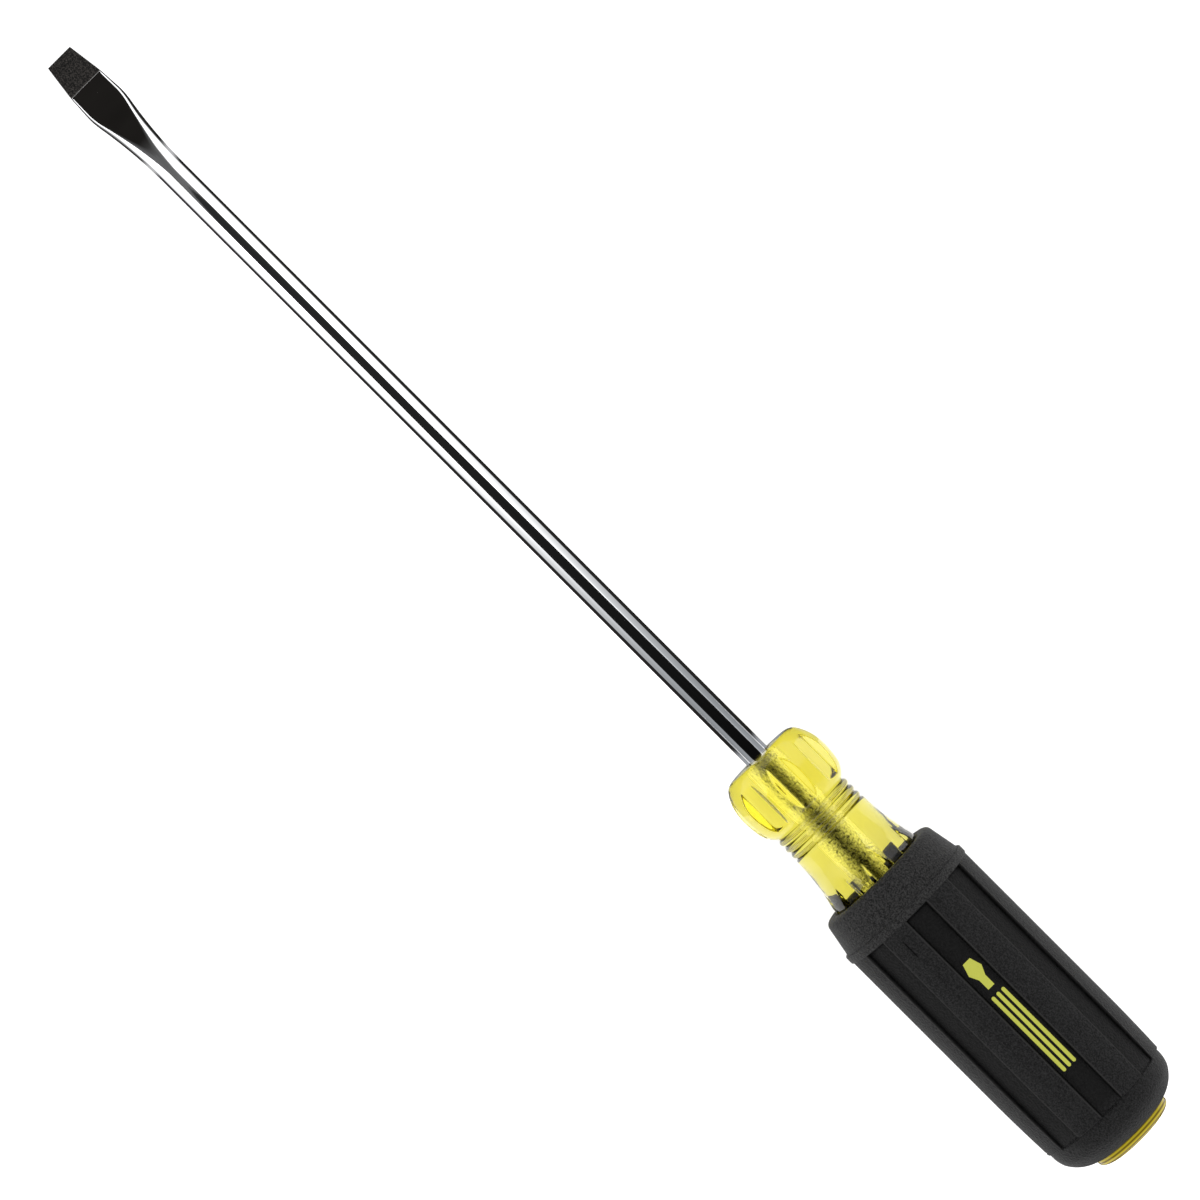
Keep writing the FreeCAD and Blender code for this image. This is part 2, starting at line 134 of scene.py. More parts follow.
# Printed mark, in mm; places are counted from its start.
INK_HEIGHT = 0.06
INK_SUNK = 0.02
ICON = [(0, 1.0), (2.6, 1.8), (3.2, 1.5), (4.6, 0.85), (7.2, 0.85)]  # place, half width
BARS = 8.8  # start of the bars
BAR_HALF_WIDTH, BAR_PITCH = 0.4, 1.4

# Turned rings on the boss, drawn only in colour: gold, with painted shade for the grooves between them.
GOLD, GROOVE_SHADE = (0.6, 0.48, 0.03, 1), (0.15, 0.1, 0.01, 1)
TURNED_PITCH = 0.8  # mm

# Camera and light, in metres.
CAMERA_HEIGHT = 0.888
CAMERA_AT = 0.1575  # along the tool
CAMERA_ASIDE = -0.00018
VIEW_WIDTH = 0.2468  # of the picture, at the tool's axis
WORLD_LIGHT = 1.0
FLOOR_GLOW = 0.6
SOFTBOX_POWER = 1.0  # watts
SOFTBOX_SIDE, SOFTBOX_HEIGHT = 0.9, 0.55
TOP_CARD_HEIGHT, TOP_CARD_ASIDE = 0.62, -0.085
TOP_CARD_HALF_WIDTHS = [  # place, half width
    (-0.5, 0.36), (-0.11, 0.36), (-0.075, 0.28), (-0.045, 0.375), (0.0, 0.385), (0.06, 0.43),
    (0.1, 0.49), (0.22, 0.61), (0.6, 0.66),
]
SIDE_CARD_AT, SIDE_CARD_TOP = 0.75, 1.3
CARD_LIFT = 0.0004  # of the cards on the floor
FLOOR_CARD_HALF_WIDTH, BUTT_CARD_HALF_WIDTH = 0.74, 0.02
BUTT_CARD_LENGTH = 0.03
BESIDE_RUNOUT = 0.029  # where the floor card, which the bar's edges show, is lighter


# Outlines and radii.


def arc(start, end, radius, steps):
    """Points after start up to end on an arc that bulges to the left of the way, or right if negative."""
    start, end = Vector(start), Vector(end)
    chord = end - start
    turn = 2 * math.asin(chord.length / 2 / abs(radius))
    left = Vector((-chord.y, chord.x)).normalized()
    side = -1 if radius > 0 else 1
    centre = (start + end) / 2 + left * side * abs(radius) * math.cos(turn / 2)
    spoke = start - centre
    return [
        tuple(centre + Matrix.Rotation(side * turn * step / steps, 2) @ spoke)
        for step in range(1, steps + 1)
    ]


def line(start, end, steps):
    """Points after start up to end on a straight line."""
    start, end = Vector(start), Vector(end)
    return [tuple(start.lerp(end, step / steps)) for step in range(1, steps + 1)]


def tangent_radius(run, rise):
    """Radius of an arc that leaves along the run and ends aside of it by the rise."""
    return (run**2 + rise**2) / (2 * rise)


def trace(corners):
    """Points along an outline. A corner is (x, y, steps to the next corner, radius of an arc to it)."""
    points = [corners[0][:2]]
    for (x, y, steps, *radius), after in zip(corners, corners[1:]):
        start, end = (x, y), after[:2]
        points += arc(start, end, radius[0], steps) if radius else line(start, end, steps)
    return points


def soft_min(first, second, width):
    """The smaller of two lengths, with the change from one to the other eased over a width."""
    blend = max(width - abs(first - second), 0.0) / width
    return min(first, second) - blend**2 * width / 4


def smooth_step(low, high, value):
    """0 below low, 1 above high, and a smooth rise between."""
    share = min(max((value - low) / (high - low), 0.0), 1.0)
    return share * share * (3 - 2 * share)


def off_centre(angle, turn, count):
    """Signed angle from the nearest of count places round the axis, the first of them at turn."""
    pitch = 2 * math.pi / count
    return (angle - turn + pitch / 2) % pitch - pitch / 2


# Meshes.


def skin(name, rings, wrap=False):
    """A mesh of quads through rings of points. Its ends are closed by flat faces, or joined if wrap."""
    around = len(rings[0])
    points = [point for ring in rings for point in ring]
    faces = []
    for row in range(len(rings) if wrap else len(rings) - 1):
        here, there = row * around, (row + 1) % len(rings) * around
        for column in range(around):
            after = (column + 1) % around
            faces.append((here + column, there + column, there + after, here + after))
    if not wrap:
        faces.append(tuple(range(around)))
        faces.append(tuple(range(len(points) - 1, len(points) - around - 1, -1)))
    mesh = bpy.data.meshes.new(name)
    mesh.from_pydata([Vector(point) * MM for point in points], [], faces)
    mesh.validate()
    mesh.shade_smooth()
    mesh.set_sharp_from_angle(angle=math.radians(38))
    piece = bpy.data.objects.new(name, mesh)
    bpy.context.scene.collection.objects.link(piece)
    return piece


def turned_rings(outline, angles, radius_at):
    """A ring of points for each (x, radius) of the outline; radius_at may change it by the angle."""
    rings = []
    for place, radius in outline:
        ring = []
        for angle in angles:
            out = radius_at(place, radius, angle)
            ring.append((place, out * math.sin(angle), out * math.cos(angle)))
        rings.append(ring)
    return rings


# The blade.


def flare_half_width(place):
    """Half the width of the blade, seen square to the flats."""
    rise = FLARE_HALF_WIDTH - BAR
    fall = tangent_radius(NECK - FLARE, rise)
    if place >= NECK:
        return BAR
    near_tip = TIP_HALF_WIDTH + (GROUND_HALF_WIDTH - TIP_HALF_WIDTH) * place / GROUND
    slope = (FLARE_HALF_WIDTH - GROUND_HALF_WIDTH) / (FLARE - GROUND)
    wide = GROUND_HALF_WIDTH + slope * (place - GROUND)
    after_flare = BAR + fall - math.sqrt(fall**2 - (NECK - place) ** 2)
    return soft_min(soft_min(near_tip, wide, 0.1), after_flare, FLARE_ROUND * 0.3)


def half_thickness(place):
    """Height of the flats over the axis."""
    top = BAR + EDGE
    if place >= RUNOUT:
        return top
    if place >= GROUND:
        round_to_bar = tangent_radius(RUNOUT - GROUND, top - GROUND_HALF_THICKNESS)
        return top - round_to_bar + math.sqrt(round_to_bar**2 - (RUNOUT - place) ** 2)
    share = place / GROUND
    return TIP_HALF_THICKNESS + (GROUND_HALF_THICKNESS - TIP_HALF_THICKNESS) * share


def edge_easing(place):
    """How far the edges between the flats and the sides are eased."""
    forged = smooth_step(GROUND, GROUND + 0.8, place) * (1 - smooth_step(FLARE, RUNOUT, place))
    return EDGE + (FORGED_EDGE - EDGE) * forged


def blade_section(place, inset=0.0):
    """A ring round the blade: two round sides, and two flats where it is thinner than it is wide."""
    ease = edge_easing(place)
    out, flat = flare_half_width(place) - inset, half_thickness(place) - inset
    crease = math.asin(min(flat / out, 1.0))
    crease = min(crease, math.radians(80))
    ring = []
    for quarter in (0, 1, 2, 3):
        low, high = ((-crease, crease), (crease, math.pi - crease))[quarter % 2]
        low, high = low + quarter // 2 * math.pi, high + quarter // 2 * math.pi
        count = (SIDE_COLUMNS, FLAT_COLUMNS)[quarter % 2]
        for step in range(count):
            share = (1 - math.cos(math.pi * step / count)) / 2
            angle = low + (high - low) * share
            up = abs(math.sin(angle))
            reach = soft_min(out, flat / up, ease) if up > TINY else out
            ring.append((place, reach * math.cos(angle), reach * math.sin(angle)))
    return ring[::-1]


def wing_section(place):
    """A ring round the bar and the two wings pressed out of it."""
    ring = []
    for x, y, z in blade_section(place):
        along = WING_HALF_WIDTH * BAR / max(abs(y), TINY)
        across = WING_HALF_THICKNESS * BAR / max(abs(z), TINY)
        stretch = max(min(along, across) / BAR, 1.0)
        ring.append((x, y * stretch, z * stretch))
    return ring


def make_blade():
    """One steel bar from the tip's end face to its bevelled end inside the handle."""
    ease = EDGE / 2
    rings = [blade_section(BLADE_START, ease)]
    places = [place for place, _ in line((BLADE_START, 0), (GROUND, 0), 26)]
    places += [place for place, _ in line((GROUND, 0), (RUNOUT, 0), 104)]
    places.append(RUNOUT + 0.3)  # a crisp end to the flats
    places += [place for place, _ in line((RUNOUT, 0), (NOSE + 1, 0), 60)]
    places += [place for place, _ in line((NOSE + 1, 0), (WING_START - 0.1, 0), 24)]
    rings.append(blade_section(BLADE_START + ease))
    rings += [blade_section(place) for place in places]
    rings += [wing_section(place) for place in (WING_START, WING_START + 0.1)]
    rings += [wing_section(place) for place in (WING_END - 0.1, WING_END)]
    rings.append(blade_section(WING_END + 0.1))
    rings.append(blade_section(BLADE_END - 1))
    rings.append(blade_section(BLADE_END, inset=1.0))
    return skin("steel_blade", rings)


# The handle.


def flute_radius(angle):
    """Distance from the axis to the flutes' floors and walls, at an angle from the top."""
    off = abs(off_centre(angle, FLUTE_TURN, FLUTES))
    slope = math.tan(FLUTE_SLOPE)
    floor = FLUTE_FLOOR / math.cos(off)
    wall = (FLUTE_FLOOR - FLUTE_HALF_FLOOR * slope) / (math.cos(off) - math.sin(off) * slope)
    return max(floor, wall)


def handle_radius(place, radius, angle):
    """The turned radius, less where a flute cuts deeper."""
    if radius < FLUTE_FLOOR - 1 or place > NOSE + FLUTE_END:
        return radius
    return soft_min(radius, flute_radius(angle), FLUTE_EASE)


def handle_outline():
    """The turned outline from the nose's mouth to the crown, from the nose, as (place, radius)."""
    groove = RING + RINGS * RING_PITCH
    waist = groove + WAIST_LIP
    eased = BOSS_EASE * 0.28
    return trace([
        (0, MOUTH_RADIUS, 6),
        (0, FACE_RADIUS, 14, tangent_radius(SHOULDER_RADIUS - FACE_RADIUS, SHOULDER)),
        (SHOULDER, SHOULDER_RADIUS, 54, tangent_radius(BALL - SHOULDER, BALL_RADIUS - SHOULDER_RADIUS)),
        (BALL, BALL_RADIUS, 30, tangent_radius(BROW - BALL, BALL_RADIUS - BROW_RADIUS)),
        (BROW, BROW_RADIUS, 28, BROW_ROUND),
        *((RING + number * RING_PITCH, GROOVE_RADIUS, 18, RING_ROUND) for number in range(RINGS)),
        (groove, GROOVE_RADIUS, 9, tangent_radius(WAIST_LIP, WAIST_RADIUS - GROOVE_RADIUS)),
        (waist, WAIST_RADIUS, 50, -tangent_radius(CORE_START - waist, CORE - WAIST_RADIUS)),
        (CORE_START, CORE, 14),
        (CORE_START + 6, CORE, 24),
        (FLUTE_END, CORE, 1),
        (FLUTE_END + 0.3, CORE, 3),
        (CORE_END, CORE, 4),
        (CORE_END + BOSS_CONE, BOSS_RADIUS, 12),
        (BOSS_CORNER - 1.4 * eased, BOSS_RADIUS, 7, BOSS_EASE),
        (BOSS_CORNER + eased, BOSS_RADIUS - eased, 12, CROWN_CORNER),
        (CROWN, CROWN_RADIUS, 16, tangent_radius(CROWN_RADIUS, BUTT - NOSE - CROWN)),
        (BUTT - NOSE, 0),
    ])[:-1]


def bore_outline():
    """The hole from its bottom to the nose's mouth, from the nose."""
    bottom = BLADE_END - NOSE + BORE_GAP
    wide = BAR + BORE_GAP
    return trace([
        (bottom, wide - 1, 1),
        (bottom - 1, wide, 40),
        (MOUTH_DEPTH, wide, 8, -tangent_radius(MOUTH_DEPTH, MOUTH_RADIUS - wide)),
        (0, MOUTH_RADIUS),
    ])


def bore_radius(place, radius, angle):
    """The round hole, with slots for the wings."""
    if not WING_START - 0.3 < place < WING_END + 0.3 or radius < BAR:
        return radius
    along = (WING_HALF_WIDTH + BORE_GAP) / max(abs(math.sin(angle)), TINY)
    across = (WING_HALF_THICKNESS + BORE_GAP) / max(abs(math.cos(angle)), TINY)
    return max(radius, min(along, across))


def make_handle():
    """One piece of clear acetate, from the bottom of its hole round the nose to the butt."""
    angles = [FLUTE_TURN + 2 * math.pi * step / HANDLE_COLUMNS for step in range(HANDLE_COLUMNS)]
    bore = [(NOSE + place, radius) for place, radius in bore_outline()[:-1]]
    outside = [(NOSE + place, radius) for place, radius in handle_outline()]
    rings = turned_rings(bore, angles, bore_radius)
    rings += turned_rings(outside, angles, handle_radius)
    return skin("acetate_handle", rings)


# The grip.


def grip_outline():
    """The grip's outside, from the inner edge of its front face to its back, from its front."""
    lip_end = LIP + LIP_LENGTH
    return trace([
        (0, MOUTH_EDGE, 3),
        (0, RIM_RADIUS, 14, tangent_radius(COLLAR_RADIUS - RIM_RADIUS, COLLAR)),
        (COLLAR, COLLAR_RADIUS, 14),
        (LIP, COLLAR_END_RADIUS, 2),
        (LIP, LIP_RADIUS - LIP_ROUND, 6, LIP_ROUND),
        (LIP + LIP_ROUND, LIP_RADIUS, 6),
        (lip_end - LIP_ROUND, LIP_RADIUS, 6, tangent_radius(LIP_ROUND, LIP_RADIUS - LAND_RADIUS)),
        (lip_end, LAND_RADIUS, 6),
        (lip_end + WALL_LENGTH, LAND_RADIUS, 40),
        (LAND_BOW, LAND_RADIUS, 20, tangent_radius(LAND_END - LAND_BOW, LAND_RADIUS - LAND_END_RADIUS)),
        (LAND_END - LAND_CORNER, LAND_END_RADIUS, 5, LAND_CORNER),
        (LAND_END, LAND_END_RADIUS - LAND_CORNER, 3),
        (LAND_END, CHANNEL_RADIUS, 6),
        (TAIL, CHANNEL_RADIUS, 12, tangent_radius(BACK - TAIL, CHANNEL_RADIUS - BACK_RADIUS)),
        (BACK, BACK_RADIUS, 36, BACK_ROUND),
        (GRIP_END - GRIP_START, BACK_EDGE),
    ])


def channel_share(place, angle):
    """1 on a channel's floor, 0 on a land, and between them on the walls."""
    off = abs(off_centre(angle, CHANNEL_TURN, FLUTES))
    inside = CHANNEL_HALF_ANGLE - WALL_HALF_ANGLE
    across = 1 - smooth_step(inside, CHANNEL_HALF_ANGLE + WALL_HALF_ANGLE, off)
    start = GRIP_START + LIP + LIP_LENGTH
    along = smooth_step(start, start + WALL_LENGTH, place)
    return across * along


def grip_radius(place, radius, angle):
    """The turned radius, less the channels, plus the fine seam that the mould leaves."""
    here = place - GRIP_START
    if LIP + LIP_LENGTH <= here <= LAND_END:
        floor = min(radius, CHANNEL_RADIUS)
        radius += (floor - radius) * channel_share(place, angle)
    seam = off_centre(angle, SEAM_ANGLE, 2) * radius / SEAM_WIDTH
    nick = abs(here - NICK) < NICK_LENGTH / 2 and math.cos(angle - SEAM_ANGLE) > 0
    off_lip = abs(here - LIP - LIP_LENGTH / 2) > SEAM_OFF_LIP
    fade = smooth_step(*SEAM_RISE, here) * (1 - smooth_step(*SEAM_FALL, here)) * off_lip
    rise = -NICK_DEPTH if nick else SEAM_HEIGHT
    return radius + rise * fade * math.exp(-seam * seam)


def grip_angles():
    """Angles round the grip, close together at the channels' walls and at the seams."""
    inside = CHANNEL_HALF_ANGLE - WALL_HALF_ANGLE
    outside = CHANNEL_HALF_ANGLE + WALL_HALF_ANGLE
    half_pitch = math.pi / FLUTES
    half = [inside * step / 9 for step in range(10)]
    half += [inside + (outside - inside) * step / 6 for step in range(1, 7)]
    land = half_pitch - outside
    half += [outside + land * share for share in (0.1, 0.22, 0.36, 0.5, 0.64, 0.76, 0.86, 0.92, 0.96, 1)]
    sector = [-offset for offset in reversed(half[1:-1])] + half
    return [
        CHANNEL_TURN + flute * 2 * half_pitch + offset for flute in range(FLUTES) for offset in sector
    ]


def core_in_grip(place, radius, angle):
    """The grip's inside, which follows the fluted core."""
    if place < GRIP_START + MOUTH_INSIDE:
        return radius
    return handle_radius(place, radius - GRIP_GAP, angle) + GRIP_GAP


def make_grip():
    """One rubber sleeve: the outside from front to back, then the inside from back to front."""
    outside = [(GRIP_START + place, radius) for place, radius in grip_outline()]
    bore, narrow = CORE + GRIP_GAP, BOSS_RADIUS + GRIP_GAP
    inside = [(NOSE + place, radius) for place, radius in trace([
        (GRIP_END - NOSE, narrow, 1),
        (CORE_END + BOSS_CONE, narrow, 1),
        (CORE_END, bore, 2),
        (FLUTE_END + 0.3, bore, 1),
        (FLUTE_END, bore, 30),
        (GRIP_START - NOSE + MOUTH_INSIDE, bore, 8, tangent_radius(MOUTH_INSIDE, MOUTH_EDGE - bore)),
        (GRIP_START - NOSE, MOUTH_EDGE),
    ])[:-1]]
    angles = grip_angles()
    rings = turned_rings(outside, angles, grip_radius)
    rings += turned_rings(inside, angles, core_in_grip)
    return skin("rubber_grip", rings, wrap=True)


# The printed mark: a small outline of a blade, and three plain bars.


def ink_strip(name, stations, middle):
    """A layer of ink on the channel's floor. Each station is (place, half width); middle is across."""
    floor, top = CHANNEL_RADIUS - INK_SUNK, CHANNEL_RADIUS + INK_HEIGHT
    rings = []
    for place, half_width in stations:
        across = [middle + half_width * (2 * step / 6 - 1) for step in range(7)]
        ring = [(top, offset) for offset in across] + [(floor, offset) for offset in across[::-1]]
        rings.append([
            (place, radius * math.sin(CHANNEL_TURN + offset / CHANNEL_RADIUS),
             radius * math.cos(CHANNEL_TURN + offset / CHANNEL_RADIUS))
            for radius, offset in ring
        ])
    return skin(name, rings)


def rounded_bar(start, end, half_width):
    """Stations of a bar with round ends."""
    turns = [math.pi / 2 * step / 8 for step in range(1, 9)]
    first = [(start + half_width * (1 - math.cos(turn)), half_width * math.sin(turn)) for turn in turns]
    last = [(start + end - place, half) for place, half in reversed(first)]
    return first + last


def make_mark():
    """The strips of ink, from the mark's start to its end."""
    strips = [ink_strip("ink_icon", [(MARK_START + place, half) for place, half in ICON], 0)]
    bar = rounded_bar(MARK_START + BARS, MARK_END, BAR_HALF_WIDTH)
    for number in (-1, 0, 1):
        strips.append(ink_strip(f"ink_bar_{number + 2}", bar, number * BAR_PITCH))
    return strips


# Materials. Places inside them are in metres, in the tool's own frame.


def add_node(tree, kind, inputs=(), **settings):
    """A node with its settings, and its inputs set to values or linked to other nodes' outputs."""
    node = tree.nodes.new(kind)
    for name, value in settings.items():
        setattr(node, name, value)
    for socket, value in dict(inputs).items():
        if isinstance(value, bpy.types.NodeSocket):
            tree.links.new(value, node.inputs[socket])
        else:
            node.inputs[socket].default_value = value
    return node


def calculate(tree, operation, *values):
    """The output of a Math node."""
    return add_node(tree, "ShaderNodeMath", dict(enumerate(values)), operation=operation).outputs[0]


def noise(tree, place, size, detail=3.0, roughness=0.5):
    """Noise from 0 to 1 whose grains are about this size in metres."""
    inputs = {"Vector": place, "Scale": 1 / size, "Detail": detail, "Roughness": roughness}
    return add_node(tree, "ShaderNodeTexNoise", inputs).outputs["Fac"]


def between(tree, share, low, high):
    """A number that goes from low to high with the share."""
    inputs = {"Value": share, "To Min": low, "To Max": high}
    return add_node(tree, "ShaderNodeMapRange", inputs).outputs["Result"]


def edge_of(tree, value, low, high):
    """0 where the value is under low, 1 over high, and smooth between."""
    inputs = {"Value": value, "From Min": low, "From Max": high}
    return add_node(
        tree, "ShaderNodeMapRange", inputs, interpolation_type="SMOOTHSTEP"
    ).outputs["Result"]


def colour_ramp(tree, value, stops):
    """A colour that changes with a value. Each stop is (value, colour)."""
    first, last = stops[0][0], stops[-1][0]
    inputs = {"Value": value, "From Min": first, "From Max": last}
    share = add_node(tree, "ShaderNodeMapRange", inputs).outputs["Result"]
    node = add_node(tree, "ShaderNodeValToRGB", {"Fac": share})
    elements = node.color_ramp.elements
    while len(elements) < len(stops):
        elements.new(0.5)
    for element, (place, colour) in zip(elements, stops):
        element.position = (place - first) / (last - first)
        element.color = colour
    return node.outputs["Color"]


def grey(level, warmth=0.0):
    """A grey, a little redder than it is blue if warmth is over 0, and bluer if it is under."""
    return (level * (1 + warmth), level, level * (1 - warmth), 1)


def mix_colours(tree, share, first, second):
    """A colour between two colours."""
    node = add_node(tree, "ShaderNodeMix", data_type="RGBA")
    for index, value in ((0, share), (6, first), (7, second)):
        if isinstance(value, bpy.types.NodeSocket):
            tree.links.new(value, node.inputs[index])
        else:
            node.inputs[index].default_value = value
    return node.outputs[2]


def bumped(tree, height, depth, normal=None):
    """A normal from a height map from 0 to 1, with the depth in metres."""
    inputs = {"Height": height, "Distance": depth, "Strength": 1.0}
    if normal:
        inputs["Normal"] = normal
    return add_node(tree, "ShaderNodeBump", inputs).outputs["Normal"]


def new_material(name, **values):
    """A material's node tree and its shader, with plain values on the shader's own sockets."""
    material = bpy.data.materials.new(name)
    material.use_nodes = True
    tree = material.node_tree
    shader = tree.nodes["Principled BSDF"]
    for socket, value in values.items():
        shader.inputs[socket.replace("_", " ")].default_value = value
    return material, tree, shader


def placed(tree):
    """The place on the tool, and its three numbers."""
    place = add_node(tree, "ShaderNodeTexCoord").outputs["Object"]
    parts = add_node(tree, "ShaderNodeSeparateXYZ", {"Vector": place}).outputs
    return place, parts["X"], parts["Y"], parts["Z"]


def axis_distance(tree, across, up):
    """Distance from the tool's axis."""
    squares = calculate(tree, "ADD", calculate(tree, "MULTIPLY", across, across),
                        calculate(tree, "MULTIPLY", up, up))
    return calculate(tree, "SQRT", squares)


def steel_material():
    """Polished chrome, a grainy black oxide end, and duller steel inside the handle."""
    material, tree, shader = new_material("chromed_steel", Specular_IOR_Level=0.2)
    place, along, _, _ = placed(tree)
    grain = noise(tree, place, 0.00028, detail=4, roughness=0.75)
    patches = noise(tree, place, 0.0018)
    ragged = calculate(tree, "MULTIPLY_ADD", noise(tree, place, 0.0006), 0.00016, along)
    border = (GROUND + 0.05) * MM
    chromed = edge_of(tree, ragged, border, border + 0.0001)
    bare = calculate(tree, "SUBTRACT", edge_of(tree, ragged, border - 0.00005, border + 0.00005),
                     edge_of(tree, ragged, border + 0.00005, border + 0.0002))
    held = edge_of(tree, along, NOSE * MM, NOSE * MM + 0.0006)

    bright = mix_colours(tree, patches, (0.84, 0.85, 0.86, 1), (0.90, 0.905, 0.92, 1))
    scale = edge_of(tree, noise(tree, place, 0.0005, detail=4, roughness=0.75), 0.42, 0.52)
    inside = mix_colours(tree, scale, (0.008, 0.009, 0.005, 1), (0.60, 0.61, 0.48, 1))
    specks = edge_of(tree, grain, 0.45, 0.64)
    oxide = mix_colours(tree, specks, (0.001, 0.0009, 0.0008, 1), (0.052, 0.046, 0.041, 1))
    steel = mix_colours(tree, held, bright, inside)
    steel = mix_colours(tree, chromed, oxide, steel)
    tree.links.new(mix_colours(tree, bare, steel, (0.08, 0.073, 0.066, 1)), shader.inputs["Base Color"])
    shiny = calculate(tree, "SUBTRACT", chromed, bare)
    tree.links.new(calculate(tree, "MAXIMUM", shiny, 0.0), shader.inputs["Metallic"])

    streaks = add_node(tree, "ShaderNodeMapping", {"Vector": place, "Scale": (0.04, 1, 1)})
    polish = noise(tree, streaks.outputs["Vector"], 0.0002, detail=4)
    smooth = between(tree, polish, 0.015, 0.04)
    smooth = calculate(tree, "ADD", smooth, calculate(tree, "MULTIPLY", held, 0.08))
    rough = between(tree, grain, 0.5, 0.7)
    gap = calculate(tree, "SUBTRACT", smooth, rough)
    roughness = calculate(tree, "MULTIPLY_ADD", gap, chromed, rough)
    tree.links.new(roughness, shader.inputs["Roughness"])

    soft = calculate(tree, "MULTIPLY", polish, 0.015)
    pits = calculate(tree, "MULTIPLY", grain, calculate(tree, "SUBTRACT", 1.0, chromed))
    coarse = calculate(tree, "MULTIPLY", grain, 2.0)
    bite = calculate(tree, "MULTIPLY", coarse, held)
    height = calculate(tree, "ADD", calculate(tree, "ADD", soft, pits), bite)
    tree.links.new(bumped(tree, height, 0.00006), shader.inputs["Normal"])
    return material


def acetate_material():
    """Clear lemon-yellow acetate, polished outside, and rough in the hole that the bar was driven into.

    The butt is turned in rings, drawn only in colour with painted shade in their grooves, and is hazy and
    gold.
    """
    material, tree, shader = new_material("yellow_acetate", IOR=1.48)
    place, along, across, up = placed(tree)
    outside = edge_of(tree, axis_distance(tree, across, up), (BAR + 0.35) * MM, (BAR + 0.7) * MM)
    grain = noise(tree, place, 0.0006, detail=4, roughness=0.65)
    ripple = noise(tree, place, 0.004, detail=2)

    butt = edge_of(tree, along, (GRIP_END - 1.5) * MM, (GRIP_END - 0.3) * MM)
    # Painted shade: the boss's rings go from gold on the ridges to a darker amber in grooves that the mesh
    # doesn't have.
    past_grip = calculate(tree, "SUBTRACT", along, GRIP_END * MM)
    turns = calculate(tree, "MULTIPLY", past_grip, 2 * math.pi / (TURNED_PITCH * MM))
    ridge = calculate(tree, "MULTIPLY_ADD", calculate(tree, "COSINE", turns), -0.5, 0.5)
    tint = mix_colours(tree, butt, (1.0, 0.985, 0.9, 1), mix_colours(tree, ridge, GROOVE_SHADE, GOLD))
    tree.links.new(tint, shader.inputs["Base Color"])
    tree.links.new(between(tree, butt, 1.0, 0.12), shader.inputs["Transmission Weight"])
    tree.links.new(between(tree, butt, 0.5, 0.15), shader.inputs["Specular IOR Level"])

    polished = between(tree, ripple, 0.0, 0.012)
    rough = between(tree, grain, 0.01, 0.05)
    gap = calculate(tree, "SUBTRACT", polished, rough)
    roughness = calculate(tree, "MULTIPLY_ADD", gap, outside, rough)
    tree.links.new(roughness, shader.inputs["Roughness"])
    waves = bumped(tree, ripple, 0.00005)
    driven = calculate(tree, "MULTIPLY", grain, calculate(tree, "SUBTRACT", 1.0, outside))
    tree.links.new(bumped(tree, driven, 0.0003, waves), shader.inputs["Normal"])
    volume = add_node(
        tree, "ShaderNodeVolumeAbsorption", {"Color": (0.955, 0.92, 0.16, 1), "Density": 135.0}
    )
    tree.links.new(volume.outputs["Volume"], tree.nodes["Material Output"].inputs["Volume"])
    return material


def channel_marks(tree, along, distance, angle):
    """Shares of the painted shade in the channels' corners and walls, and of the painted highlight along
    the lands' edges.
    """
    front = (GRIP_START + LIP + LIP_LENGTH) * MM
    # Painted shade on the channels' walls, and on their floors along the foot of the walls and just behind
    # their fronts.
    wall = calculate(tree, "SUBTRACT",
                     edge_of(tree, distance, (CHANNEL_RADIUS + 0.04) * MM, (CHANNEL_RADIUS + 0.1) * MM),
                     edge_of(tree, distance, (LAND_END_RADIUS - 0.1) * MM, LAND_END_RADIUS * MM))
    pitch = 2 * math.pi / FLUTES
    turned = calculate(tree, "SUBTRACT", angle, CHANNEL_TURN)
    off = calculate(tree, "ABSOLUTE", calculate(tree, "WRAP", turned, pitch / 2, -pitch / 2))
    outside = edge_of(tree, off, CHANNEL_HALF_ANGLE, CHANNEL_HALF_ANGLE + 0.01)
    inside = calculate(tree, "SUBTRACT", 1.0, outside)
    past_front = edge_of(tree, along, front + 0.0003, front + 0.0008)
    foot = calculate(tree, "MAXIMUM",
                     edge_of(tree, off, CHANNEL_HALF_ANGLE - 0.022, CHANNEL_HALF_ANGLE - 0.008),
                     calculate(tree, "SUBTRACT", 1.0, past_front))
    foot = calculate(tree, "MULTIPLY", foot, inside)
    rim = CHANNEL_HALF_ANGLE + WALL_HALF_ANGLE
    # Painted highlight: a thin paler band along each land's edge.
    wear_and_painted_sheen = calculate(tree, "SUBTRACT", edge_of(tree, off, rim - 0.008, rim),
                     edge_of(tree, off, rim + 0.006, rim + 0.02))
    return calculate(tree, "MAXIMUM", wall, foot), wear_and_painted_sheen


def seam_mark(tree, along, angle):
    """Share of the dark line along the mould's seam: faint outside the nick, and whole in the nick, where
    it is painted shade in the groove.
    """
    from_seam = calculate(tree, "ABSOLUTE", calculate(tree, "SUBTRACT", angle, SEAM_ANGLE))
    on_seam = calculate(tree, "SUBTRACT", 1.0, edge_of(tree, from_seam, 0.004, 0.012))
    in_nick = calculate(tree, "COMPARE", along, (GRIP_START + NICK) * MM, NICK_LENGTH / 2 * MM)
    return calculate(tree, "MULTIPLY", on_seam, between(tree, in_nick, 0.25, 1.0))


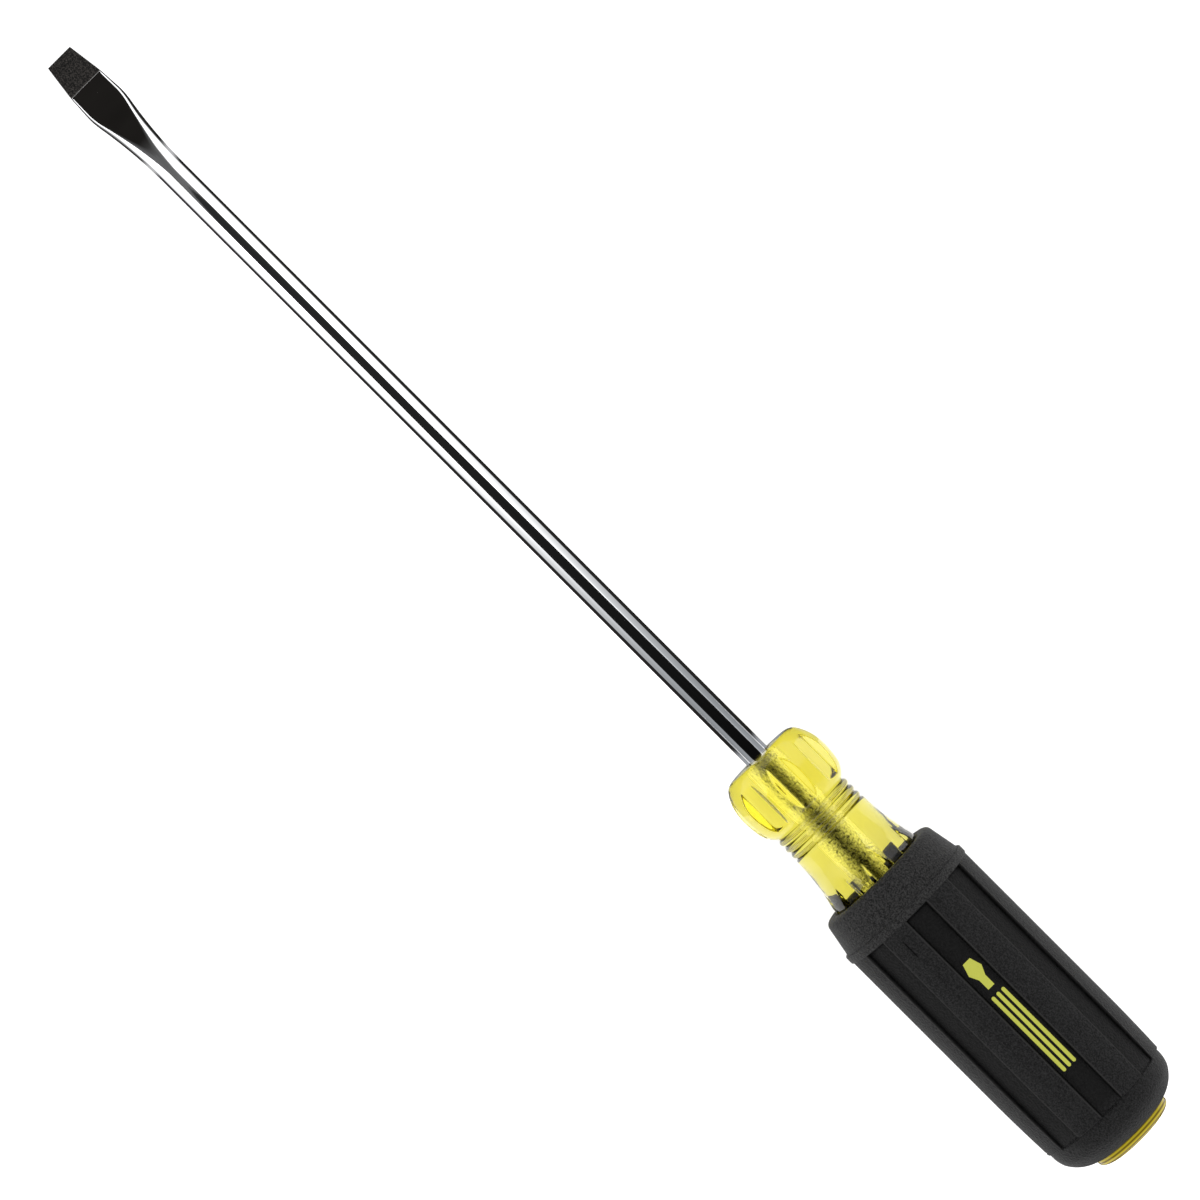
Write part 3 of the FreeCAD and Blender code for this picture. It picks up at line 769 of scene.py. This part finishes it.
def rubber_material():
    """Matt black cushion rubber with a fine leather grain, paler on the lands, with painted highlights
    along the lands' edges and painted shade in the channels' corners and walls and in the seam's nick.
    """
    material, tree, shader = new_material("black_rubber", Specular_IOR_Level=0.16, IOR=1.5)
    place, along, across, up = placed(tree)
    distance = axis_distance(tree, across, up)
    angle = calculate(tree, "ARCTAN2", across, up)
    raised = edge_of(tree, distance, (CHANNEL_RADIUS + 0.25) * MM, (CHANNEL_RADIUS + 0.5) * MM)
    rear = edge_of(tree, along, (GRIP_START + LAND_END - 2.5) * MM, (GRIP_START + LAND_END) * MM)
    on_land = calculate(tree, "MAXIMUM", raised, rear)
    speckle = noise(tree, place, 0.0003, detail=4, roughness=0.75)
    grains = edge_of(tree, speckle, 0.40, 0.63)
    clouds = noise(tree, place, 0.006)
    floor = mix_colours(tree, grains, (0.001, 0.001, 0.001, 1), (0.006, 0.006, 0.006, 1))
    land = mix_colours(tree, grains, (0.0005, 0.0005, 0.0005, 1), (0.022, 0.022, 0.0225, 1))
    rubber = mix_colours(tree, on_land, floor, land)
    dusty = calculate(tree, "MULTIPLY", clouds, 0.2)
    rubber = mix_colours(tree, dusty, rubber, (0.022, 0.0215, 0.021, 1))
    front = (GRIP_START + LIP + LIP_LENGTH) * MM
    collar = calculate(tree, "LESS_THAN", along, front)
    speckled = calculate(tree, "MULTIPLY", collar, grains)
    rubber = mix_colours(tree, speckled, rubber, (0.040, 0.0395, 0.039, 1))

    fluted = calculate(tree, "MULTIPLY", calculate(tree, "GREATER_THAN", along, front),
                       calculate(tree, "LESS_THAN", along, (GRIP_START + LAND_END - 0.3) * MM))
    crevice = (0.0004, 0.0004, 0.0004, 1)
    # Painted shade: the channels' walls and corners go near black.
    shade, wear_and_painted_sheen = channel_marks(tree, along, distance, angle)
    shaded = calculate(tree, "MULTIPLY", calculate(tree, "MULTIPLY", shade, fluted), 0.9)
    rubber = mix_colours(tree, shaded, rubber, crevice)
    # Painted highlight along the lands' edges, in a paler grey.
    edge_highlight = calculate(tree, "MULTIPLY", calculate(tree, "MULTIPLY", wear_and_painted_sheen, fluted), on_land)
    rubber = mix_colours(tree, edge_highlight, rubber, (0.025, 0.0245, 0.024, 1))
    # Painted shade in the nick's groove, and a faint dark line along the rest of the seam.
    seam_line_and_nick_shade = calculate(tree, "MULTIPLY", seam_mark(tree, along, angle), fluted)
    rubber = mix_colours(tree, seam_line_and_nick_shade, rubber, crevice)
    tree.links.new(rubber, shader.inputs["Base Color"])
    tree.links.new(between(tree, speckle, 0.5, 0.72), shader.inputs["Roughness"])
    cells = add_node(
        tree, "ShaderNodeTexVoronoi", {"Vector": place, "Scale": 1 / 0.0005}, feature="SMOOTH_F1"
    ).outputs["Distance"]
    leather = bumped(tree, cells, 0.0002)
    tree.links.new(bumped(tree, speckle, 0.00012, leather), shader.inputs["Normal"])
    return material


def ink_material():
    """Yellow-green ink, a little thin in places."""
    material, tree, shader = new_material("yellow_ink", Specular_IOR_Level=0.2)
    place, _, _, _ = placed(tree)
    speckle = noise(tree, place, 0.00018, detail=4, roughness=0.65)
    thin = edge_of(tree, speckle, 0.66, 0.74)
    full = mix_colours(tree, speckle, (0.44, 0.47, 0.055, 1), (0.56, 0.57, 0.095, 1))
    wear_and_painted_sheen = mix_colours(tree, thin, full, (0.20, 0.20, 0.05, 1))
    tree.links.new(wear_and_painted_sheen, shader.inputs["Base Color"])
    tree.links.new(between(tree, speckle, 0.4, 0.6), shader.inputs["Roughness"])
    tree.links.new(bumped(tree, speckle, 0.00002), shader.inputs["Normal"])
    return material


def fit_piece(piece, material, node):
    """Give a piece its finish, and let it stand for its CAD node."""
    piece.data.materials.append(material)
    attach(piece, "root")
    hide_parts(node)


# The studio.


def sheet_mesh(name, stations):
    """A sheet through stations, each a pair of points on its two long edges."""
    mesh = bpy.data.meshes.new(name)
    points = [point for station in stations for point in station]
    faces = [(step, step + 1, step + 3, step + 2) for step in range(0, len(points) - 2, 2)]
    mesh.from_pydata(points, [], faces)
    sheet = bpy.data.objects.new(name, mesh)
    bpy.context.scene.collection.objects.link(sheet)
    return sheet


def floor_height(place):
    """Height in metres, at a place in mm, of the floor that the grip's lip and the tip's flat rest on."""
    lip = GRIP_START + LIP + LIP_LENGTH / 2
    tips = [step * 0.5 for step in range(100)]
    slope = min((LIP_RADIUS - half_thickness(tip)) / (lip - tip) for tip in tips)
    return (-LIP_RADIUS - (place - lip) * slope) * MM


def on_floor(start, end, half_width, lift=0.0):
    """Stations of a sheet on the floor, or lifted off it."""
    return [
        tuple((place, side, floor_height(place / MM) + lift) for side in (-half_width, half_width))
        for place in (start, end)
    ]


def make_floor():
    """A pale, softly glowing floor."""
    far = 3.0
    floor = sheet_mesh("floor", on_floor(-far, far, far))
    material, tree, shader = new_material(
        "pale_floor", Roughness=0.9, Emission_Color=(1, 1, 1, 1), Emission_Strength=FLOOR_GLOW
    )
    place, _, _, _ = placed(tree)
    faint = mix_colours(tree, noise(tree, place, 0.4), (0.86, 0.86, 0.86, 1), (0.88, 0.88, 0.88, 1))
    tree.links.new(faint, shader.inputs["Base Color"])
    floor.data.materials.append(material)


def make_card(name, stations, material, through_clear=True):
    """A card as a studio hangs for chrome, seen only in reflections and, if asked, through the handle."""
    card = sheet_mesh(name, stations)
    card.data.materials.append(material)
    card.visible_camera = False
    card.visible_diffuse = False
    card.visible_transmission = through_clear
    card.visible_volume_scatter = False
    card.visible_shadow = False


def card_material(name):
    """A material that gives light but takes none."""
    return new_material(name, Base_Color=(0, 0, 0, 1), Roughness=1.0, Specular_IOR_Level=0.0)


def fade_along(tree, along):
    """White beside the tip, fading to a bluish grey beside the handle."""
    share = edge_of(tree, along, 0.05, 0.23)
    return mix_colours(tree, share, (1.3, 1.3, 1.3, 1), (0.30, 0.315, 0.33, 1))


# The card over the tool is black, with one grey panel that ends where the flats do. Each stop is the place
# along the blade, in mm, where the chrome shows it, and its tone.
TOP_CARD_TONES = [
    (24, grey(0.012, 0.1)),
    (29, grey(0.12)),
    (RUNOUT - 0.4, grey(0.16)),
    (RUNOUT, grey(0.025)),
    (NOSE, grey(0.004)),
]


def shown_at(place):
    """X in metres of the part of the top card that the chrome shows at a place along its top, in mm."""
    step = 0.1
    high, low = (
        soft_min(flare_half_width(near), half_thickness(near), edge_easing(near))
        for near in (place + step, place - step)
    )
    slope = (high - low) / (2 * step)
    away = (place * MM - CAMERA_AT) / CAMERA_HEIGHT
    return place * MM + (away - 2 * slope) * TOP_CARD_HEIGHT


def make_top_card():
    """A black card over the tool, with a grey patch that shows in the end of the flats."""
    material, tree, shader = card_material("top_card")
    place, along, _, _ = placed(tree)
    tones = colour_ramp(tree, along, [(shown_at(place_mm), tone) for place_mm, tone in TOP_CARD_TONES])
    tree.links.new(tones, shader.inputs["Emission Color"])
    smears = noise(tree, place, 0.03)
    tree.links.new(between(tree, smears, 0.7, 1.3), shader.inputs["Emission Strength"])
    make_card("top_card", [
        ((place, TOP_CARD_ASIDE - half, TOP_CARD_HEIGHT), (place, TOP_CARD_ASIDE + half, TOP_CARD_HEIGHT))
        for place, half in TOP_CARD_HALF_WIDTHS
    ], material)


def make_side_cards():
    """Two upright cards, a little brighter towards their tops."""
    material, tree, shader = card_material("side_card")
    _, along, _, up = placed(tree)
    tree.links.new(fade_along(tree, along), shader.inputs["Emission Color"])
    reach = {"Value": up, "From Max": SIDE_CARD_TOP, "To Min": 0.85, "To Max": 1.5}
    lifted = add_node(tree, "ShaderNodeMapRange", reach).outputs["Result"]
    tree.links.new(lifted, shader.inputs["Emission Strength"])
    for name, side in (("left_card", SIDE_CARD_AT), ("right_card", -SIDE_CARD_AT)):
        stations = [((place, side, -0.06), (place, side, SIDE_CARD_TOP)) for place in (-0.6, 0.7)]
        make_card(name, stations, material, through_clear=False)


def make_floor_card():
    """A card on the floor, black near the blade and as bright as the side cards further out."""
    material, tree, shader = card_material("floor_card")
    _, along, across, _ = placed(tree)
    run = calculate(tree, "ADD", along, 0.01)
    edge = calculate(tree, "MULTIPLY_ADD", calculate(tree, "MULTIPLY", run, run), 2.1, 0.008)
    off_middle = calculate(tree, "SUBTRACT", calculate(tree, "DIVIDE", across, edge), 0.2)
    outside = calculate(tree, "ABSOLUTE", off_middle)
    aside = calculate(tree, "ABSOLUTE", across)
    by_nose = calculate(tree, "MULTIPLY_ADD", aside, -0.05, along)
    cleared = edge_of(tree, by_nose, (NOSE - 5) * MM, (NOSE - 2) * MM)
    share = calculate(tree, "MAXIMUM", edge_of(tree, outside, 0.75, 1.9), cleared)
    off_runout = calculate(tree, "ABSOLUTE", calculate(tree, "SUBTRACT", along, BESIDE_RUNOUT))
    lighter = between(tree, edge_of(tree, off_runout, 0.0004, 0.003), 0.4, 0.0)
    share = calculate(tree, "MAXIMUM", share, lighter)
    tones = mix_colours(tree, share, (0.02, 0.019, 0.018, 1), fade_along(tree, along))
    tree.links.new(tones, shader.inputs["Emission Color"])
    shader.inputs["Emission Strength"].default_value = 1.0
    stations = on_floor(-0.6, (NOSE + 6) * MM, FLOOR_CARD_HALF_WIDTH, CARD_LIFT)
    make_card("floor_card", stations, material, through_clear=False)


def make_butt_card():
    """A small dark card on the floor behind the butt, which draws the boss's edge."""
    material, _, _ = card_material("butt_card")
    stations = on_floor(BUTT * MM, BUTT * MM + BUTT_CARD_LENGTH, BUTT_CARD_HALF_WIDTH, CARD_LIFT)
    make_card("butt_card", stations, material, through_clear=False)


def make_light(name, place, aim, width, length):
    """A soft rectangular light."""
    data = bpy.data.lights.new(name, "AREA")
    data.shape = "RECTANGLE"
    data.size, data.size_y = width, length
    data.energy = SOFTBOX_POWER
    light = bpy.data.objects.new(name, data)
    light.location = place
    light.rotation_euler = (Vector(aim) - Vector(place)).to_track_quat("-Z", "Y").to_euler()
    light.visible_camera = False
    bpy.context.scene.collection.objects.link(light)


def make_world():
    """Even white light all round."""
    world = bpy.data.worlds.new("studio")
    world.use_nodes = True
    sky = world.node_tree.nodes["Background"]
    sky.inputs["Color"].default_value = (1, 1, 1, 1)
    sky.inputs["Strength"].default_value = WORLD_LIGHT
    bpy.context.scene.world = world
    bpy.context.scene.view_settings.view_transform = "Standard"


def make_camera():
    """A long lens straight above, turned so that the tool lies from upper left to lower right."""
    data = bpy.data.cameras.new("camera")
    data.sensor_width = 36
    data.lens = 36 * CAMERA_HEIGHT / VIEW_WIDTH
    camera = bpy.data.objects.new("camera", data)
    camera.location = (CAMERA_AT, CAMERA_ASIDE, CAMERA_HEIGHT)
    camera.rotation_euler = (0, 0, math.radians(45))
    bpy.context.scene.collection.objects.link(camera)
    bpy.context.scene.camera = camera


make_camera()
make_world()
make_floor()
make_top_card()
make_side_cards()
make_floor_card()
make_butt_card()
for name, side in (("left_softbox", SOFTBOX_SIDE), ("right_softbox", -SOFTBOX_SIDE)):
    make_light(name, (0.15, side, SOFTBOX_HEIGHT), (0.15, 0, 0), 0.5, 1.2)

fit_piece(make_blade(), steel_material(), "blade")
fit_piece(make_handle(), acetate_material(), "handle")
fit_piece(make_grip(), rubber_material(), "grip")
ink = ink_material()
for strip in make_mark():
    fit_piece(strip, ink, "printed_mark")
